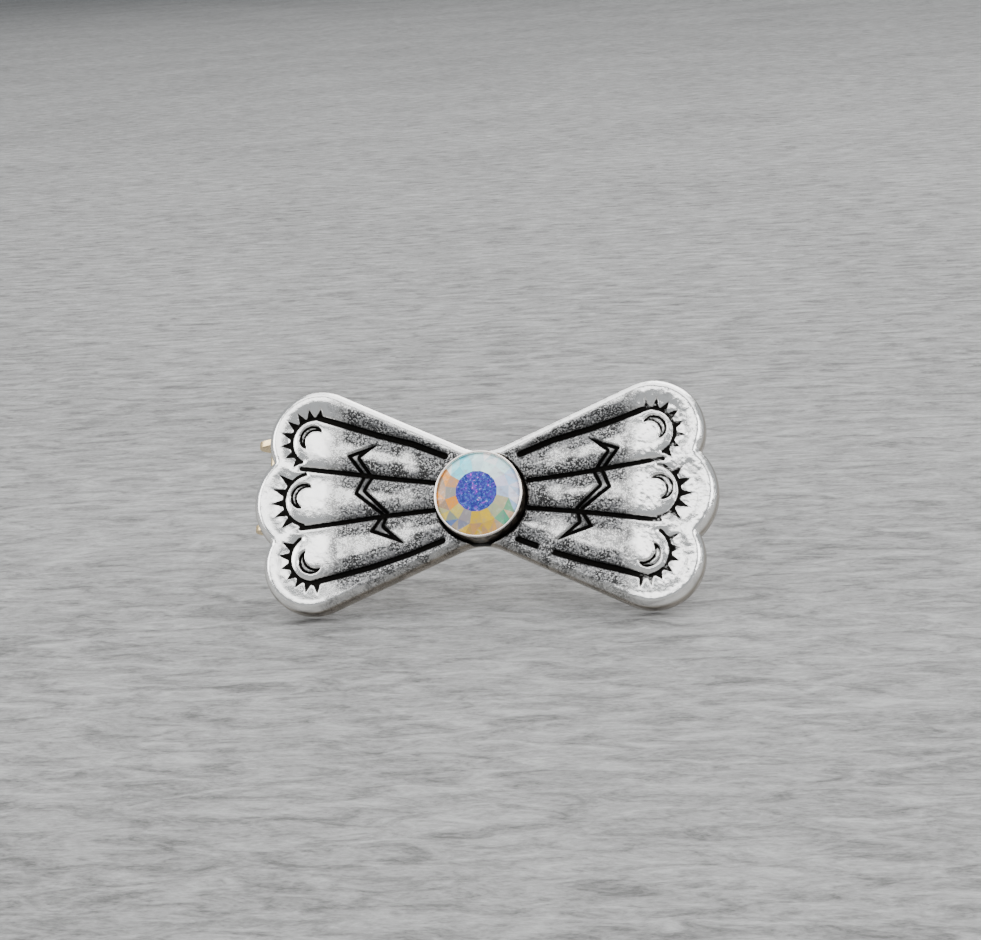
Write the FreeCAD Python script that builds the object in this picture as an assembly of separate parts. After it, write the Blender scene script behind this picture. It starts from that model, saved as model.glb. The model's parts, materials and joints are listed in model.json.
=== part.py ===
import FreeCAD, Part
import math
import os

# A bow-shaped brooch. It is drawn in the frame of its cast plate, in millimetres: X runs along the bow,
# Z up it, and Y out of its back. The plate's back face is y = 0 and its front faces -Y. stand_up() at the
# end leans the finished pieces back, so that the bow stands on its two lower lobes and its opened pin.

# ---- driving dimensions ----

PLATE_THICKNESS = 2.2
HALF_LENGTH = 19.78
MIDDLE_LOBE_RADIUS = 4.94
CORNER_LOBE_RADIUS = 4.33
CORNER_LOBE_X = 14.37
CORNER_LOBE_Z = 5.42
WAIST_HALF_HEIGHT = 4.01
WAIST_RADIUS = 4.07
EDGE_ROUNDING = 0.35
# a direction from a corner lobe's centre that is on its outer side, in degrees
LOBE_OUTWARD = 48.0

RELIEF_DEPTH = 0.45
MARK_DEPTH = 0.3
GROOVE_WIDTH = 0.36
PETAL_START_X = 3.0
# each petal of a wing: height of its end circle, x of it, radius, and its lower and upper edge at the waist
PETALS = {
    "upper": (5.15, 14.6, 2.05, 1.2, 3.15),
    "middle": (0.0, 15.3, 2.05, -0.85, 0.85),
    "lower": (-5.1, 14.4, 2.08, -3.25, -1.2),
}
# rays pressed into the rim outside each petal: first and last direction from +X outwards, and how many
RAYS = {"upper": (-49, 100, 8), "middle": (-38, 38, 5), "lower": (-100, 25, 7)}
RAY_LENGTH = 0.95
RAY_WIDTH = 0.8
CRESCENT_RADIUS = 1.25
CRESCENT_THICKNESS = 0.45
CRESCENT_SHIFT = 0.2
ZIGZAG_INNER = [(8.95, 4.5), (10.5, 3.6), (9.3, 1.9), (9.9, 0.7), (7.9, -1.2), (8.2, -2.4), (6.5, -3.7)]
ZIGZAG_OUTER = [(9.5, -2.9), (8.6, -1.4), (10.95, 0.45), (10.3, 2.0), (11.7, 3.85)]

STONE_Z = -0.2
GIRDLE_RADIUS = 3.53
GIRDLE_HEIGHT = 0.3
GIRDLE_FRONT = -3.2
TABLE_RADIUS = 1.75
TABLE_FACE = -4.1
CULET = -0.75
STONE_SIDES = 16
FOIL_THICKNESS = 0.08
ADHESIVE_THICKNESS = 0.17
CEMENT_MARGIN = 0.1

CUP_RADIUS = 3.74
CUP_SEAT = -1.4
CUP_BOSS_RADIUS = 2.2
CUP_BOSS_SEAT = -0.3
CUP_BORE = 3.57
CUP_LIP = -3.42
CUP_LIP_REACH = 3.43
CUP_LIP_ROUNDING = 0.1
CUP_RING_GROOVE = 4.02

PIN_LINE_Z = 2.3
BAR_THICKNESS = 0.6
BAR_WIDTH = 3.4
BAR_LEFT = -18.1
BAR_RIGHT = 16.4
HINGE_BLOCK_RIGHT = -15.4
HINGE_BLOCK_WIDTH = 8.0
EAR_THICKNESS = 0.5
EAR_RADIUS = 1.15
EAR_END_X = -19.4
BAR_RIVET_X = (-11.5, 9.5)
BAR_RIVET_RADIUS = 0.6
BAR_RIVET_HEAD = 1.1
BAR_RIVET_CROWN = 0.66
BAR_RIVET_DEPTH = 1.1
RIVET_HEAD_HEIGHT = 0.32

HINGE_X = -18.9
HINGE_Y = 2.2
HINGE_RIVET_RADIUS = 0.4
HINGE_HEAD_RADIUS = 0.75
SPACER_RADIUS = 0.6
HINGE_HEAD_HEIGHT = 0.15
RUNNING_CLEARANCE = 0.05

WIRE_RADIUS = 0.375
COIL_TURNS = 4
COIL_MARGIN = 0.05
STEM_ROOT = 0.35
NECK_RADIUS = 0.415
NECK_END = 2.0
STEM_LENGTH = 34.9
TIP_LENGTH = 4.2
TIP_RADIUS = 0.06
OPEN_AT_REST = 32.0

CATCH_X = 12.6
CATCH_LENGTH = 2.2
CATCH_RADIUS = 1.6
CATCH_BORE = 1.2
CATCH_SLOT = 1.15
CATCH_FOOT_WIDTH = 1.9
CATCH_PEG_RADIUS = 0.55
ROTOR_BORE = 0.55
ROTOR_SLOT = 1.0
COLLAR_RADIUS = 1.55
COLLAR_LENGTH = 0.35
LEVER_ANGLE = 50.0
LEVER_LENGTH = 3.1
LEVER_WIDTH = 1.1

# ---- sizes that follow from them ----

FACE = -PLATE_THICKNESS
NEAR = 1e-6
# how far each cutting shape runs past the surface that it opens
PAST = 1.0
STEM_Y = HINGE_Y + RUNNING_CLEARANCE + HINGE_RIVET_RADIUS + WIRE_RADIUS
COIL_RADIUS = STEM_Y - HINGE_Y
COIL_HIGH = PIN_LINE_Z + WIRE_RADIUS + COIL_MARGIN
COIL_LOW = COIL_HIGH - 2 * WIRE_RADIUS * COIL_TURNS - 2 * COIL_MARGIN
EARS_LOW = PIN_LINE_Z - HINGE_BLOCK_WIDTH / 2
EARS_HIGH = PIN_LINE_Z + HINGE_BLOCK_WIDTH / 2
LOBE_BOTTOM = -CORNER_LOBE_Z - CORNER_LOBE_RADIUS
ALONG_X = FreeCAD.Vector(1, 0, 0)
ALONG_Y = FreeCAD.Vector(0, 1, 0)
ALONG_Z = FreeCAD.Vector(0, 0, 1)


def point(x, z, y=0.0):
    return FreeCAD.Vector(x, y, z)


def line(a, b):
    return Part.makeLine(a, b)


def arc(a, through, b):
    return Part.Arc(a, through, b).toShape()


def prism(edges, y_from, y_to):
    """The solid between two depths whose outline, drawn at y = 0, is made of these edges."""
    face = Part.Face(Part.Wire(Part.__sortEdges__(edges)))
    face.translate(FreeCAD.Vector(0, y_from, 0))
    return face.extrude(FreeCAD.Vector(0, y_to - y_from, 0))


def polygon_prism(corners, y_from, y_to):
    edges = []
    for i, corner in enumerate(corners):
        edges.append(line(point(*corner), point(*corners[(i + 1) % len(corners)])))
    return prism(edges, y_from, y_to)


def disc(x, z, radius, y_from, y_to):
    return Part.makeCylinder(radius, y_to - y_from, point(x, z, y_from), ALONG_Y)


def turned(profile):
    """A solid of revolution about the stone's axis, from (radius, y) corners."""
    corners = [FreeCAD.Vector(radius, y, STONE_Z) for radius, y in profile]
    face = Part.Face(Part.makePolygon(corners + [corners[0]]))
    return face.revolve(point(0, STONE_Z), ALONG_Y, 360)


def polar(angle, radius=1.0):
    return radius * math.cos(math.radians(angle)), radius * math.sin(math.radians(angle))


# ---- the cast plate ----


def notch():
    """Where the middle lobe meets the upper corner lobe, right of centre."""
    middle_x = HALF_LENGTH - MIDDLE_LOBE_RADIUS
    dx = CORNER_LOBE_X - middle_x
    gap = math.hypot(dx, CORNER_LOBE_Z)
    along = (gap**2 + MIDDLE_LOBE_RADIUS**2 - CORNER_LOBE_RADIUS**2) / (2 * gap)
    across = math.sqrt(MIDDLE_LOBE_RADIUS**2 - along**2)
    ux = dx / gap
    uz = CORNER_LOBE_Z / gap
    return middle_x + ux * along + uz * across, uz * along - ux * across


def waist_line():
    """The straight edge's two ends, upper right: on the waist's arc, and on the corner lobe."""
    waist_z = WAIST_HALF_HEIGHT + WAIST_RADIUS
    dx = CORNER_LOBE_X
    dz = CORNER_LOBE_Z - waist_z
    gap = math.hypot(dx, dz)
    heading = math.degrees(math.atan2(dz, dx))
    swing = math.degrees(math.acos((WAIST_RADIUS + CORNER_LOBE_RADIUS) / gap))
    nx, nz = polar(heading - swing)
    on_waist = (nx * WAIST_RADIUS, waist_z + nz * WAIST_RADIUS)
    on_lobe = (CORNER_LOBE_X - nx * CORNER_LOBE_RADIUS, CORNER_LOBE_Z - nz * CORNER_LOBE_RADIUS)
    return on_waist, on_lobe


def outline():
    """The bow's edges: a middle lobe and two corner lobes at each end, straight sides and a round waist."""
    notch_x, notch_z = notch()
    (waist_x, waist_z), (lobe_x, lobe_z) = waist_line()
    out_x, out_z = polar(LOBE_OUTWARD, CORNER_LOBE_RADIUS)
    edges = []
    for sx in (1, -1):
        tip = point(sx * HALF_LENGTH, 0)
        edges.append(arc(point(sx * notch_x, -notch_z), tip, point(sx * notch_x, notch_z)))
        for sz in (1, -1):
            bulge = point(sx * (CORNER_LOBE_X + out_x), sz * (CORNER_LOBE_Z + out_z))
            shoulder = point(sx * lobe_x, sz * lobe_z)
            edges.append(arc(point(sx * notch_x, sz * notch_z), bulge, shoulder))
            edges.append(line(shoulder, point(sx * waist_x, sz * waist_z)))
    for sz in (1, -1):
        left = point(-waist_x, sz * waist_z)
        right = point(waist_x, sz * waist_z)
        edges.append(arc(left, point(0, sz * WAIST_HALF_HEIGHT), right))
    return edges


def petal(name, side, grow, depth):
    """One petal of a wing, from the waist to its round end, grown by a margin all round."""
    end_z, end_x, radius, low, high = PETALS[name]
    radius = radius + grow
    corners = []
    for start_z, swing_sign in ((low - grow, 1), (high + grow, -1)):
        dx = PETAL_START_X - end_x
        dz = start_z - end_z
        gap = math.hypot(dx, dz)
        heading = math.degrees(math.atan2(dz, dx))
        swing = math.degrees(math.acos(radius / gap))
        tx, tz = polar(heading + swing_sign * swing, radius)
        corners.append(((PETAL_START_X, start_z), (end_x + tx, end_z + tz)))
    (start_a, end_a), (start_b, end_b) = corners
    ends = [point(side * x, z) for x, z in (start_a, end_a, start_b, end_b)]
    edges = [
        line(ends[0], ends[1]),
        arc(ends[1], point(side * (end_x + radius), end_z), ends[3]),
        line(ends[3], ends[2]),
        line(ends[2], ends[0]),
    ]
    return prism(edges, FACE - PAST, FACE + depth)


def rays(name, side):
    """Small triangles round a petal's end, with their points outwards."""
    end_z, end_x, radius, _, _ = PETALS[name]
    first, last, count = RAYS[name]
    base = radius + GROOVE_WIDTH * 0.8
    half_angle = math.degrees(RAY_WIDTH / 2 / base)
    made = []
    for i in range(count):
        angle = first + (last - first) * i / (count - 1)
        corners = []
        for turn, reach in ((-half_angle, base), (half_angle, base), (0, base + RAY_LENGTH)):
            x, z = polar(angle + turn, reach)
            corners.append((side * (end_x + x), end_z + z))
        made.append(polygon_prism(corners, FACE - PAST, FACE + RELIEF_DEPTH))
    return made


def crescent(name, side):
    """A crescent cut in a petal's round end."""
    end_z, end_x, _, _, _ = PETALS[name]
    outer_x = side * (end_x + CRESCENT_SHIFT)
    outer = disc(outer_x, end_z, CRESCENT_RADIUS, FACE - PAST, FACE + MARK_DEPTH)
    inner_x = outer_x - side * CRESCENT_THICKNESS
    return outer.cut(disc(inner_x, end_z, CRESCENT_RADIUS, FACE - 2 * PAST, FACE + PAST))


def zigzag(side):
    corners = [(side * x, z) for x, z in ZIGZAG_INNER + ZIGZAG_OUTER]
    return polygon_prism(corners, FACE - PAST, FACE + MARK_DEPTH)


def on_face(edge):
    """True for an edge that lies in the plate's front face."""
    box = edge.BoundBox
    return abs(box.YMax - FACE) < NEAR and abs(box.YMin - FACE) < NEAR


def bow_plate():
    edges = outline()
    plate = prism(edges, FACE, 0)
    rim = [edge for edge in plate.Edges if on_face(edge)]
    plate = plate.makeChamfer(EDGE_ROUNDING, rim)
    for side in (1, -1):
        petals = [petal(name, side, 0, RELIEF_DEPTH) for name in PETALS]
        grooves = [petal(name, side, GROOVE_WIDTH, RELIEF_DEPTH) for name in PETALS]
        for name in PETALS:
            grooves.extend(rays(name, side))
        recess = grooves[0].fuse(grooves[1:])
        recess = recess.cut(petals[0].fuse(petals[1:]))
        plate = plate.cut(recess)
        for name in PETALS:
            plate = plate.cut(crescent(name, side))
        plate = plate.cut(zigzag(side))
    plate = plate.cut(disc(0, STONE_Z, CUP_RING_GROOVE, FACE - PAST, FACE + RELIEF_DEPTH))
    plate = plate.cut(disc(0, STONE_Z, CUP_RADIUS, FACE - PAST, CUP_SEAT))
    plate = plate.cut(disc(0, STONE_Z, CUP_BOSS_RADIUS, FACE - PAST, CUP_BOSS_SEAT))
    for x in BAR_RIVET_X:
        plate = plate.cut(disc(x, PIN_LINE_Z, BAR_RIVET_RADIUS, -BAR_RIVET_DEPTH, PAST))
    return plate.removeSplitter()


# ---- the stone and its setting ----


def pavilion_y(radius, behind=0.0):
    """Depth of the stone's lower cone at a radius, or of a cone lying behind it."""
    girdle_back = GIRDLE_FRONT + GIRDLE_HEIGHT
    return CULET + (girdle_back - CULET) * radius / GIRDLE_RADIUS + behind


def stone_ring(radius, y):
    """The corners of one level of the stone."""
    corners = []
    for i in range(STONE_SIDES):
        x, z = polar(360.0 * (i + 0.5) / STONE_SIDES, radius)
        corners.append(point(x, STONE_Z + z, y))
    return corners


def facet(*corners):
    return Part.Face(Part.makePolygon(list(corners) + [corners[0]]))


def crystal_stone():
    """A round faceted stone: a table, a crown, a thin girdle and a pointed back."""
    rings = [
        stone_ring(TABLE_RADIUS, TABLE_FACE),
        stone_ring(GIRDLE_RADIUS, GIRDLE_FRONT),
        stone_ring(GIRDLE_RADIUS, GIRDLE_FRONT + GIRDLE_HEIGHT),
    ]
    culet = point(0, STONE_Z, CULET)
    last = rings[-1]
    faces = [facet(*rings[0])]
    for i in range(STONE_SIDES):
        j = (i + 1) % STONE_SIDES
        for front, back in zip(rings, rings[1:]):
            faces.append(facet(front[i], front[j], back[j], back[i]))
        faces.append(facet(last[i], last[j], culet))
    return Part.Solid(Part.Shell(faces))


def stone_foil():
    """The mirror coating on the stone's back, a thin faceted shell."""
    rim = GIRDLE_RADIUS - CEMENT_MARGIN
    front = stone_ring(rim, pavilion_y(rim))
    back = stone_ring(rim, pavilion_y(rim, FOIL_THICKNESS))
    front_point = point(0, STONE_Z, CULET)
    back_point = point(0, STONE_Z, CULET + FOIL_THICKNESS)
    faces = []
    for i in range(STONE_SIDES):
        j = (i + 1) % STONE_SIDES
        faces.append(facet(front[i], front[j], front_point))
        faces.append(facet(back[i], back[j], back_point))
        faces.append(facet(front[i], front[j], back[j], back[i]))
    return Part.Solid(Part.Shell(faces))


def stone_adhesive():
    """The cement that beds the foiled stone in its cup."""
    rim = GIRDLE_RADIUS - CEMENT_MARGIN
    back = FOIL_THICKNESS + ADHESIVE_THICKNESS
    return turned([
        (0, pavilion_y(0, FOIL_THICKNESS)),
        (rim, pavilion_y(rim, FOIL_THICKNESS)),
        (rim, pavilion_y(rim, back)),
        (0, pavilion_y(0, back)),
    ])


def bezel_cup():
    """A turned cup with a boss into the plate; its lip is rolled over the stone's girdle."""
    rim = GIRDLE_RADIUS - CEMENT_MARGIN
    back = FOIL_THICKNESS + ADHESIVE_THICKNESS
    return turned([
        (0, CUP_BOSS_SEAT),
        (CUP_BOSS_RADIUS, CUP_BOSS_SEAT),
        (CUP_BOSS_RADIUS, CUP_SEAT),
        (CUP_RADIUS, CUP_SEAT),
        (CUP_RADIUS, CUP_LIP + CUP_LIP_ROUNDING),
        (CUP_RADIUS - CUP_LIP_ROUNDING, CUP_LIP),
        (CUP_LIP_REACH, CUP_LIP),
        (CUP_BORE, GIRDLE_FRONT - CUP_LIP_ROUNDING / 2),
        (CUP_BORE, pavilion_y(rim, back)),
        (rim, pavilion_y(rim, back)),
        (0, pavilion_y(0, back)),
    ])


# ---- the pin bar and its hinge ----


def tangent(from_x, from_y, side):
    """Where a line from a point touches an ear's round end."""
    dx = from_x - EAR_END_X
    dy = from_y - HINGE_Y
    heading = math.degrees(math.atan2(dy, dx))
    swing = math.degrees(math.acos(EAR_RADIUS / math.hypot(dx, dy)))
    x, y = polar(heading + side * swing, EAR_RADIUS)
    return EAR_END_X + x, HINGE_Y + y


def ear(low):
    """A lug folded back from the bar, with a round end beyond the hinge."""
    top = tangent(HINGE_BLOCK_RIGHT, BAR_THICKNESS, 1)
    bottom = tangent(BAR_LEFT, 0, -1)

    def at(x, y):
        return FreeCAD.Vector(x, y, low)

    edges = [
        line(at(HINGE_BLOCK_RIGHT, 0), at(HINGE_BLOCK_RIGHT, BAR_THICKNESS)),
        line(at(HINGE_BLOCK_RIGHT, BAR_THICKNESS), at(*top)),
        arc(at(*top), at(EAR_END_X - EAR_RADIUS, HINGE_Y), at(*bottom)),
        line(at(*bottom), at(BAR_LEFT, 0)),
        line(at(BAR_LEFT, 0), at(HINGE_BLOCK_RIGHT, 0)),
    ]
    face = Part.Face(Part.Wire(Part.__sortEdges__(edges)))
    return face.extrude(FreeCAD.Vector(0, 0, EAR_THICKNESS))


def pin_bar():
    """The flat strip along the back, with the hinge's two ears at its left end."""
    half = BAR_WIDTH / 2
    right = BAR_RIGHT - half
    strip = Part.makeBox(
        right - HINGE_BLOCK_RIGHT + 0.5,
        BAR_THICKNESS,
        BAR_WIDTH,
        point(HINGE_BLOCK_RIGHT - 0.5, PIN_LINE_Z - half),
    )
    round_end = disc(right, PIN_LINE_Z, half, 0, BAR_THICKNESS)
    block = Part.makeBox(
        HINGE_BLOCK_RIGHT - BAR_LEFT,
        BAR_THICKNESS,
        HINGE_BLOCK_WIDTH,
        point(BAR_LEFT, EARS_LOW),
    )
    bar = strip.fuse([round_end, block, ear(EARS_LOW), ear(EARS_HIGH - EAR_THICKNESS)])
    bar = bar.cut(hinge_cylinder(HINGE_RIVET_RADIUS, EARS_LOW - PAST, EARS_HIGH + PAST))
    for x in BAR_RIVET_X:
        bar = bar.cut(disc(x, PIN_LINE_Z, BAR_RIVET_RADIUS, -PAST, BAR_THICKNESS + PAST))
    peg_x = CATCH_X + CATCH_LENGTH / 2
    bar = bar.cut(disc(peg_x, PIN_LINE_Z, CATCH_PEG_RADIUS, -PAST, BAR_THICKNESS + PAST))
    return bar.removeSplitter()


def hinge_cylinder(radius, low, high):
    return Part.makeCylinder(radius, high - low, FreeCAD.Vector(HINGE_X, HINGE_Y, low), ALONG_Z)


def bar_rivets():
    """Two rivets that hold the bar to the plate, as separate solids."""
    rivets = []
    for x in BAR_RIVET_X:
        shank = disc(x, PIN_LINE_Z, BAR_RIVET_RADIUS, -BAR_RIVET_DEPTH, BAR_THICKNESS)
        head_base = point(x, PIN_LINE_Z, BAR_THICKNESS)
        head = Part.makeCone(BAR_RIVET_HEAD, BAR_RIVET_CROWN, RIVET_HEAD_HEIGHT, head_base, ALONG_Y)
        rivets.append(shank.fuse(head).removeSplitter())
    return Part.makeCompound(rivets)


def hinge_rivet():
    shank = hinge_cylinder(HINGE_RIVET_RADIUS, EARS_LOW, EARS_HIGH)
    low_head = hinge_cylinder(HINGE_HEAD_RADIUS, EARS_LOW - HINGE_HEAD_HEIGHT, EARS_LOW)
    high_head = hinge_cylinder(HINGE_HEAD_RADIUS, EARS_HIGH, EARS_HIGH + HINGE_HEAD_HEIGHT)
    return shank.fuse([low_head, high_head]).removeSplitter()


def hinge_spacers():
    """Two short tubes on the hinge rivet that keep the pin's coil in line with the catch."""
    spans = [
        (EARS_LOW + EAR_THICKNESS, COIL_LOW - RUNNING_CLEARANCE),
        (COIL_HIGH + RUNNING_CLEARANCE, EARS_HIGH - EAR_THICKNESS),
    ]
    tubes = []
    for low, high in spans:
        tube = hinge_cylinder(SPACER_RADIUS, low, high)
        tubes.append(tube.cut(hinge_cylinder(HINGE_RIVET_RADIUS, low - PAST, high + PAST)))
    return Part.makeCompound(tubes)


def pin_stem():
    """The wire pin: a coil on the hinge rivet, a straight stem and a sharp tip, opened by OPEN_AT_REST."""
    coil = hinge_cylinder(COIL_RADIUS + WIRE_RADIUS + COIL_MARGIN, COIL_LOW, COIL_HIGH)
    hinge = FreeCAD.Vector(HINGE_X, STEM_Y, PIN_LINE_Z)
    root = hinge + ALONG_X * STEM_ROOT
    neck = Part.makeCone(NECK_RADIUS, WIRE_RADIUS, NECK_END - STEM_ROOT, root, ALONG_X)
    straight = STEM_LENGTH - TIP_LENGTH - NECK_END
    wire = Part.makeCylinder(WIRE_RADIUS, straight, hinge + ALONG_X * NECK_END, ALONG_X)
    taper_start = hinge + ALONG_X * (STEM_LENGTH - TIP_LENGTH)
    taper = Part.makeCone(WIRE_RADIUS, TIP_RADIUS, TIP_LENGTH, taper_start, ALONG_X)
    stem = coil.fuse([neck, wire, taper])
    eye = hinge_cylinder(HINGE_RIVET_RADIUS + RUNNING_CLEARANCE, COIL_LOW - PAST, COIL_HIGH + PAST)
    stem = stem.cut(eye)
    stem = stem.removeSplitter()
    stem.rotate(FreeCAD.Vector(HINGE_X, HINGE_Y, 0), ALONG_Z, OPEN_AT_REST)
    return stem


# ---- the safety catch ----


def catch_cylinder(radius, x_from, x_to):
    return Part.makeCylinder(radius, x_to - x_from, FreeCAD.Vector(x_from, STEM_Y, PIN_LINE_Z), ALONG_X)


def mouth(width, x_from, x_to):
    """The slot that lets the pin in from behind."""
    corner = FreeCAD.Vector(x_from, STEM_Y, PIN_LINE_Z - width / 2)
    return Part.makeBox(x_to - x_from, CATCH_RADIUS * 2, width, corner)


def catch_housing():
    """A slotted tube on a foot, whose peg is closed over in the bar."""
    end = CATCH_X + CATCH_LENGTH
    foot_corner = FreeCAD.Vector(CATCH_X, BAR_THICKNESS, PIN_LINE_Z - CATCH_FOOT_WIDTH / 2)
    foot = Part.makeBox(CATCH_LENGTH, STEM_Y - BAR_THICKNESS, CATCH_FOOT_WIDTH, foot_corner)
    peg = disc(CATCH_X + CATCH_LENGTH / 2, PIN_LINE_Z, CATCH_PEG_RADIUS, 0, BAR_THICKNESS)
    housing = catch_cylinder(CATCH_RADIUS, CATCH_X, end).fuse(foot)
    housing = housing.cut(catch_cylinder(CATCH_BORE, CATCH_X - PAST, end + PAST))
    housing = housing.cut(mouth(CATCH_SLOT, CATCH_X - PAST, end + PAST))
    return housing.fuse(peg).removeSplitter()


def catch_rotor():
    """The ring that turns in the housing to shut its mouth, with a collar at each end and a thumb lever."""
    end = CATCH_X + CATCH_LENGTH
    low = CATCH_X - RUNNING_CLEARANCE - COLLAR_LENGTH
    high = end + RUNNING_CLEARANCE + COLLAR_LENGTH
    ring = catch_cylinder(CATCH_BORE - RUNNING_CLEARANCE, low, high)
    low_collar = catch_cylinder(COLLAR_RADIUS, low, low + COLLAR_LENGTH)
    high_collar = catch_cylinder(COLLAR_RADIUS, high - COLLAR_LENGTH, high)
    lever_corner = FreeCAD.Vector(high - COLLAR_LENGTH, STEM_Y, PIN_LINE_Z - LEVER_WIDTH / 2)
    lever = Part.makeBox(COLLAR_LENGTH, LEVER_LENGTH - LEVER_WIDTH / 2, LEVER_WIDTH, lever_corner)
    tip_centre = FreeCAD.Vector(high - COLLAR_LENGTH, STEM_Y + LEVER_LENGTH - LEVER_WIDTH / 2, PIN_LINE_Z)
    lever = lever.fuse(Part.makeCylinder(LEVER_WIDTH / 2, COLLAR_LENGTH, tip_centre, ALONG_X))
    lever.rotate(FreeCAD.Vector(0, STEM_Y, PIN_LINE_Z), ALONG_X, LEVER_ANGLE)
    rotor = ring.fuse([low_collar, high_collar, lever])
    rotor = rotor.cut(catch_cylinder(ROTOR_BORE, low - PAST, high + PAST))
    rotor = rotor.cut(mouth(ROTOR_SLOT, low - PAST, high + PAST))
    return rotor.removeSplitter()


# ---- how it stands ----


def lean_angle():
    """How far the bow leans back when its lower lobes and the opened pin's tip touch the ground."""
    along, back = polar(OPEN_AT_REST, STEM_LENGTH)
    tip_y = HINGE_Y + polar(OPEN_AT_REST, COIL_RADIUS)[0] + back
    return math.degrees(math.atan2(PIN_LINE_Z - LOBE_BOTTOM, tip_y))


def stand_up(shapes):
    """Leans every piece back, then puts the origin under the middle of the whole brooch, on the ground."""
    lean = FreeCAD.Placement(FreeCAD.Vector(0, 0, 0), FreeCAD.Rotation(ALONG_X, -lean_angle()))
    for shape in shapes.values():
        shape.Placement = lean.multiply(shape.Placement)
    box = Part.makeCompound(list(shapes.values())).optimalBoundingBox()
    shift = FreeCAD.Vector(-box.Center.x, -box.Center.y, -box.ZMin)
    for shape in shapes.values():
        shape.translate(shift)


PIECES = {
    "bow_plate": bow_plate,
    "bezel_cup": bezel_cup,
    "crystal_stone": crystal_stone,
    "stone_foil": stone_foil,
    "stone_adhesive": stone_adhesive,
    "pin_bar": pin_bar,
    "bar_rivets": bar_rivets,
    "hinge_rivet": hinge_rivet,
    "hinge_spacers": hinge_spacers,
    "pin_stem": pin_stem,
    "catch_housing": catch_housing,
    "catch_rotor": catch_rotor,
}

os.makedirs("parts", exist_ok=True)
solids = {name: make() for name, make in PIECES.items()}
stand_up(solids)
for name, shape in solids.items():
    shape.exportStep("parts/" + name + ".step")
    print(name, len(shape.Solids), shape.isValid(), round(shape.Volume, 3))
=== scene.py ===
import json
import math
import random
from collections import namedtuple

import bpy
import numpy as np
from mathutils import Matrix, Vector, geometry

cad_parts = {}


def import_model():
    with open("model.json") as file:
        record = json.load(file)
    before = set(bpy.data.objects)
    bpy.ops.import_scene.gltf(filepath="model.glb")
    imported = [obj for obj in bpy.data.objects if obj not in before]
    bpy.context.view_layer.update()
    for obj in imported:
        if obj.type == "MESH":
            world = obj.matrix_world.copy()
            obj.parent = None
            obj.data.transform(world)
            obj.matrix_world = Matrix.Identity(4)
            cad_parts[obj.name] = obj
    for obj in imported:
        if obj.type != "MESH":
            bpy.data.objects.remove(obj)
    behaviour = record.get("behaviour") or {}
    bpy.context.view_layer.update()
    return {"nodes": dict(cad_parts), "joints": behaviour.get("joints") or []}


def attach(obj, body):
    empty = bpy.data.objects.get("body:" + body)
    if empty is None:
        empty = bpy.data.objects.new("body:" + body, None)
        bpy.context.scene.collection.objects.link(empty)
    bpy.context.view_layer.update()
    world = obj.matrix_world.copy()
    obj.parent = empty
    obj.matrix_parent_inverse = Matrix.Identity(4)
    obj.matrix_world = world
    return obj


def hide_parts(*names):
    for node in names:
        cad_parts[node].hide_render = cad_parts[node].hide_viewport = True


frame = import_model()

MM = 0.001

# ---- the plate's own frame, in millimetres: X along the bow, Y out of its back, Z up it ----

HINGE_POINT = (-18.9, 2.2, 2.3)
JOINTS = {joint["name"]: joint for joint in frame["joints"]}
UP = Vector(JOINTS["pin_hinge"]["axis"]).normalized()
ALONG = Vector(JOINTS["catch_turn"]["axis"]).normalized()
BACK = UP.cross(ALONG)
AXES = Matrix((ALONG, BACK, UP)).transposed()
ORIGIN = Vector(JOINTS["pin_hinge"]["pos_m"]) - AXES @ (Vector(HINGE_POINT) * MM)
PLATE = Matrix.Translation(ORIGIN) @ AXES.to_4x4() @ Matrix.Scale(MM, 4)

# ---- sizes of the bow, in millimetres ----

FACE = -2.2
HALF_LENGTH = 19.78
MIDDLE_LOBE = 4.94
CORNER_LOBE = 4.33
CORNER_X = 14.37
CORNER_Z = 5.42
WAIST_HEIGHT = 4.01
WAIST_RADIUS = 4.07
OUTLINE_STEP = 0.11
GRID_STEP = 0.09
RIM_ROUNDING = 0.75
BACK_ROUNDING = 0.12

GROUND = 1.72
PETAL_TOP = 2.05
RIM_TOP = 2.2
# grooves of a wing, x counted outwards: half width, then the points it runs through
GROOVES = (
    (0.2, ((3.2, 3.55), (6.0, 4.7), (9.0, 5.55), (12.0, 6.55), (14.2, 7.27))),
    (0.15, ((3.9, 1.25), (8.0, 1.75), (12.0, 2.35), (15.7, 2.85))),
    (0.15, ((3.9, -1.1), (8.0, -1.5), (12.0, -2.0), (15.5, -2.4))),
    (0.2, ((3.2, -3.8), (6.0, -4.9), (9.0, -5.85), (12.0, -6.6), (14.2, -7.12))),
)
# round end of each petal: centre x and z, radius, and the two directions it runs between
PETAL_ENDS = ((14.6, 5.2, 2.07, -58, 100), (14.8, 0.12, 2.3, -76, 80), (14.25, -5.0, 2.12, -97, 56))
END_GROOVE = 0.11
# a groove's depth below the ground, how far inside its edge the wall starts, and the wall's and black's width
GROOVE_DEPTH = 0.12
GROOVE_START = 0.04
GROOVE_WALL = 0.17
GROOVE_SHADE = 0.12
# a petal's top drops beside its grooves, and towards the bow's end
SHOULDER_DROP = 0.26
SHOULDER_WIDTH = 0.5
END_DROP = 0.3
END_DROP_FROM = 12.0
END_DROP_RUN = 5.0
# rays round each petal's end: first and last direction in degrees from +X, how many, and their length
RAYS = ((-49, 100, 8, 0.98), (-46, 38, 5, 1.3), (-100, 25, 7, 0.98))
# half a ray's width at its base, its gap from the petal's groove, and how uneven the rays are
RAY_BASE = 0.4
RAY_GAP = 0.05
RAY_UNEVEN_LENGTH = 0.12
RAY_UNEVEN_TURN = 1.5
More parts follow.
